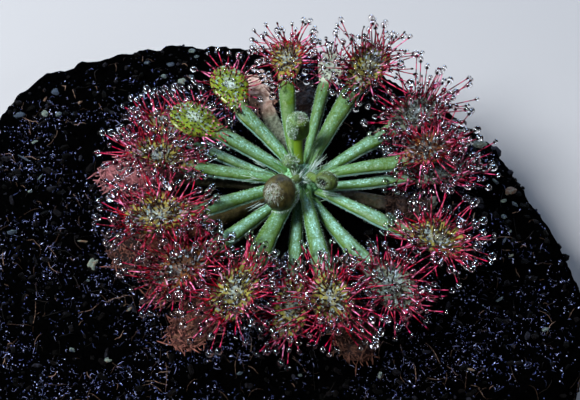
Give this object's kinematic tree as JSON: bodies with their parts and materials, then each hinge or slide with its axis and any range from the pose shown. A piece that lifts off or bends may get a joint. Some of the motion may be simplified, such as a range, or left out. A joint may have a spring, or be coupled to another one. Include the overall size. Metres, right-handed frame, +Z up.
{
  "type": "sundew plant",
  "caption": "Rosette sundew with round, sticky, tentacled blades on long stalks, growing on a flat-bottomed hummock of peat.",
  "frame": {"origin": "on the flat underside of the peat, straight below the middle of the crown", "axes": "+Z up, along the rootstock; -Y towards the side from which the plant shows best; +X to its right"},
  "size_m": [0.0791, 0.0635, 0.0237],
  "materials": {
    "peat": "matte",
    "crown": "satin",
    "young": "matte",
    "leaf": "satin",
    "withered": "matte",
    "tentacle": "satin",
    "mucilage": "gloss",
    "silk": "satin"
  },
  "bodies": {
    "root": {"peat": "peat", "crown": "crown", "young_1": "young", "young_2": "young", "young_3": "young", "young_4": "young", "leaf_01": "leaf", "leaf_02": "leaf", "leaf_03": "leaf", "leaf_04": "leaf", "leaf_05": "leaf", "leaf_06": "leaf", "leaf_07": "leaf", "leaf_08": "leaf", "leaf_09": "leaf", "leaf_10": "leaf", "leaf_11": "leaf", "leaf_12": "leaf", "leaf_13": "leaf", "leaf_14": "leaf", "leaf_15": "leaf", "leaf_16": "leaf", "leaf_17": "leaf", "withered_1": "withered", "withered_2": "withered", "withered_3": "withered", "withered_4": "withered", "withered_5": "withered", "withered_6": "withered", "withered_7": "withered", "withered_8": "withered"}
  },
  "joints": []
}
